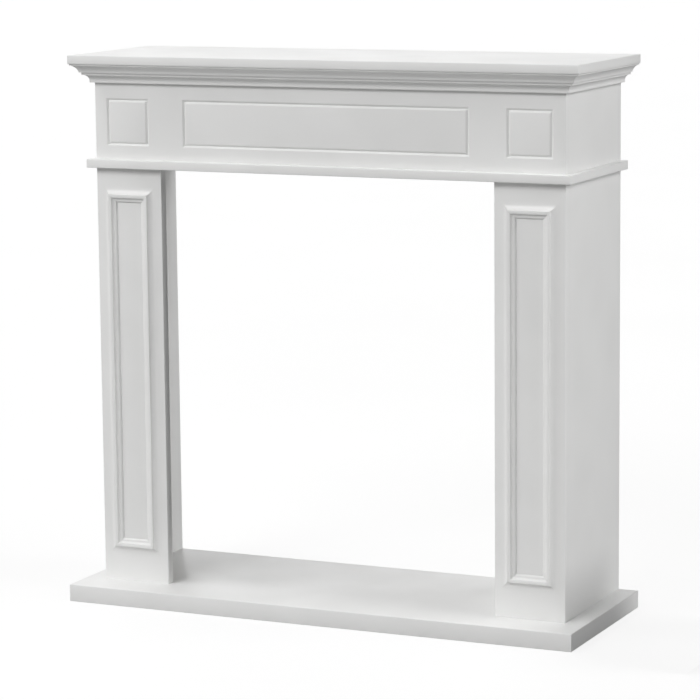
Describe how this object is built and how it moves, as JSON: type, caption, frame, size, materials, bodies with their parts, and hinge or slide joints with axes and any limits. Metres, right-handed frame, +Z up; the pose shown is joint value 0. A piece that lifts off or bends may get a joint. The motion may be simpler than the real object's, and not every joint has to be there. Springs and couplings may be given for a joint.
{
  "type": "fireplace mantelpiece",
  "caption": "Freestanding fireplace mantelpiece: panelled legs, a grooved frieze, a stepped crown moulding under an overhanging shelf, and a flat base slab.",
  "frame": {"origin": "on the floor, in the middle of the base slab's footprint", "axes": "+Z up, -Y out of the front, +Y towards the wall, +X to the right when facing the front"},
  "size_m": [1.002, 0.355, 1.02],
  "materials": {
    "lacquered_board": "satin white lacquer on fibreboard",
    "lacquered_moulding": "satin white lacquer on fibreboard"
  },
  "bodies": {
    "root": {"base_slab": "lacquered_board", "leg_front_left": "lacquered_board", "leg_front_right": "lacquered_board", "leg_side_left": "lacquered_board", "leg_side_right": "lacquered_board", "panel_mould_left_top": "lacquered_moulding", "panel_mould_left_foot": "lacquered_moulding", "panel_mould_left_outer": "lacquered_moulding", "panel_mould_left_inner": "lacquered_moulding", "panel_mould_right_top": "lacquered_moulding", "panel_mould_right_foot": "lacquered_moulding", "panel_mould_right_outer": "lacquered_moulding", "panel_mould_right_inner": "lacquered_moulding", "band_board": "lacquered_board", "frieze_front": "lacquered_board", "frieze_side_left": "lacquered_board", "frieze_side_right": "lacquered_board", "crown_front": "lacquered_moulding", "crown_left": "lacquered_moulding", "crown_right": "lacquered_moulding", "shelf_board": "lacquered_board"}
  },
  "joints": []
}
